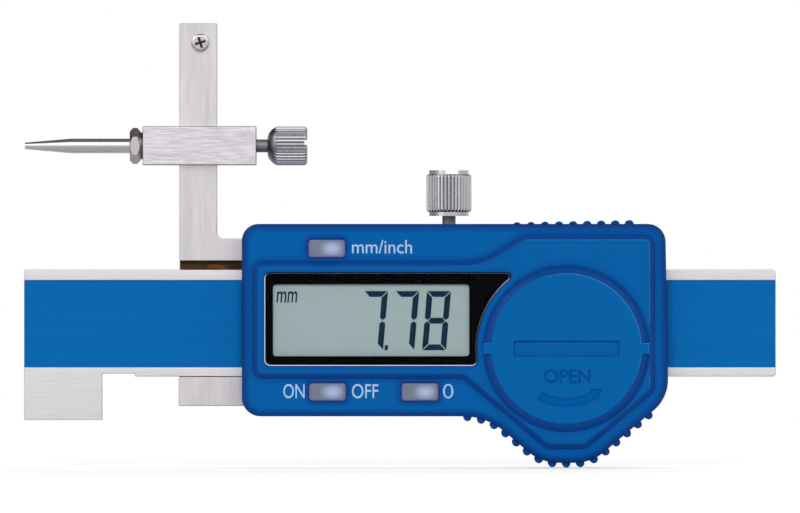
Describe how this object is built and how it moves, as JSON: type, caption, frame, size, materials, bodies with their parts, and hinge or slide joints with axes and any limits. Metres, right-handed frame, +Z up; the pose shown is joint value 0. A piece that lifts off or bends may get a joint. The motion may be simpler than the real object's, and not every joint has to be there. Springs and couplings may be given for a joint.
{
  "type": "digital step gauge",
  "caption": "Sliding digital gauge: a steel beam with a foot, a slider with a display unit and thumb lock, and a post that carries a height-adjustable stylus.",
  "frame": {"origin": "the beam's ground left end face, at mid height and mid thickness of the beam", "axes": "+X along the beam away from the reference face, +Z up the post, -Y towards the reader"},
  "size_m": [0.1125, 0.0153, 0.0664],
  "materials": {
    "ground_steel": "ground and satin, fine lengthwise grain",
    "milled_steel": "satin milled stainless steel",
    "block_steel": "coarse brushed along its length",
    "plated_steel": "bright turned steel",
    "knurled_steel": "bright straight knurl",
    "screw_steel": "zinc plated",
    "gib_bronze": "dark bronze",
    "strip_laminate": "glass fibre laminate",
    "label_blue": "smooth printed film",
    "case_blue": "fine satin moulding",
    "cover_blue": "fine satin moulding",
    "window_clear": "clear polished acrylic",
    "mask_black": "black print",
    "display_grey": "liquid crystal glass, grey green",
    "holder_white": "moulded",
    "contact_rubber": "striped conductive rubber",
    "board_green": "glass fibre board",
    "resin_black": "black potting resin",
    "switch_grey": "small switch bodies",
    "cell_steel": "nickel plated can",
    "cradle_black": "moulded",
    "contact_metal": "nickel plated spring bronze",
    "seal_rubber": "soft rubber",
    "button_grey": "translucent grey"
  },
  "bodies": {
    "beam": {"beam": "ground_steel", "scale_strip": "strip_laminate", "beam_label": "label_blue", "end_stop": "milled_steel", "end_stop_screws": "screw_steel"},
    "slider": {"slider_frame": "milled_steel", "gib": "gib_bronze", "gib_screws": "screw_steel", "post_stop_screw": "plated_steel", "housing": "case_blue", "housing_screws": "screw_steel", "display_window": "window_clear", "window_mask": "mask_black", "lcd_panel": "display_grey", "lcd_holder": "holder_white", "zebra_strips": "contact_rubber", "main_pcb": "board_green", "pcb_screws": "screw_steel", "chip_blob": "resin_black", "tact_switches": "switch_grey", "battery": "cell_steel", "battery_cradle": "cradle_black", "battery_contact_positive": "contact_metal", "battery_contact_negative": "contact_metal", "battery_seal": "seal_rubber"},
    "battery_cover": {"battery_cover": "cover_blue"},
    "lock_screw": {"lock_screw": "knurled_steel"},
    "stylus_block": {"stylus_block": "block_steel", "stylus": "plated_steel", "stylus_nut": "plated_steel"},
    "clamp_screw": {"clamp_screw": "knurled_steel"},
    "unit_button": {"unit_button": "button_grey"},
    "power_button": {"power_button": "button_grey"},
    "zero_button": {"zero_button": "button_grey"}
  },
  "joints": [
    {"name": "slider_slide", "type": "slide", "parent": "beam", "child": "slider", "axis": [1, 0, 0], "range_m": [-0.0114, 0.014]},
    {"name": "block_slide", "type": "slide", "parent": "slider", "child": "stylus_block", "axis": [0, 0, 1], "range_m": [-0.0087, 0.0109]},
    {"name": "clamp_screw_turn", "type": "hinge", "parent": "stylus_block", "child": "clamp_screw", "pos_m": [0.035, 0, 0.02654], "axis": [1, 0, 0], "range_deg": [0, 270]},
    {"name": "lock_screw_turn", "type": "hinge", "parent": "slider", "child": "lock_screw", "pos_m": [0.0636, 0, 0.016], "axis": [0, 0, 1], "range_deg": [0, 270]},
    {"name": "battery_cover_turn", "type": "hinge", "parent": "slider", "child": "battery_cover", "pos_m": [0.0811, -0.0105, -0.00376], "axis": [0, -1, 0], "range_deg": [0, 60]},
    {"name": "unit_button_press", "type": "slide", "parent": "slider", "child": "unit_button", "axis": [0, 1, 0], "range_m": [0, 0.0004], "stiffness_N_per_m": 1000, "springref_m": -0.0003},
    {"name": "power_button_press", "type": "slide", "parent": "slider", "child": "power_button", "axis": [0, 1, 0], "range_m": [0, 0.0004], "stiffness_N_per_m": 1000, "springref_m": -0.0003},
    {"name": "zero_button_press", "type": "slide", "parent": "slider", "child": "zero_button", "axis": [0, 1, 0], "range_m": [0, 0.0004], "stiffness_N_per_m": 1000, "springref_m": -0.0003}
  ]
}
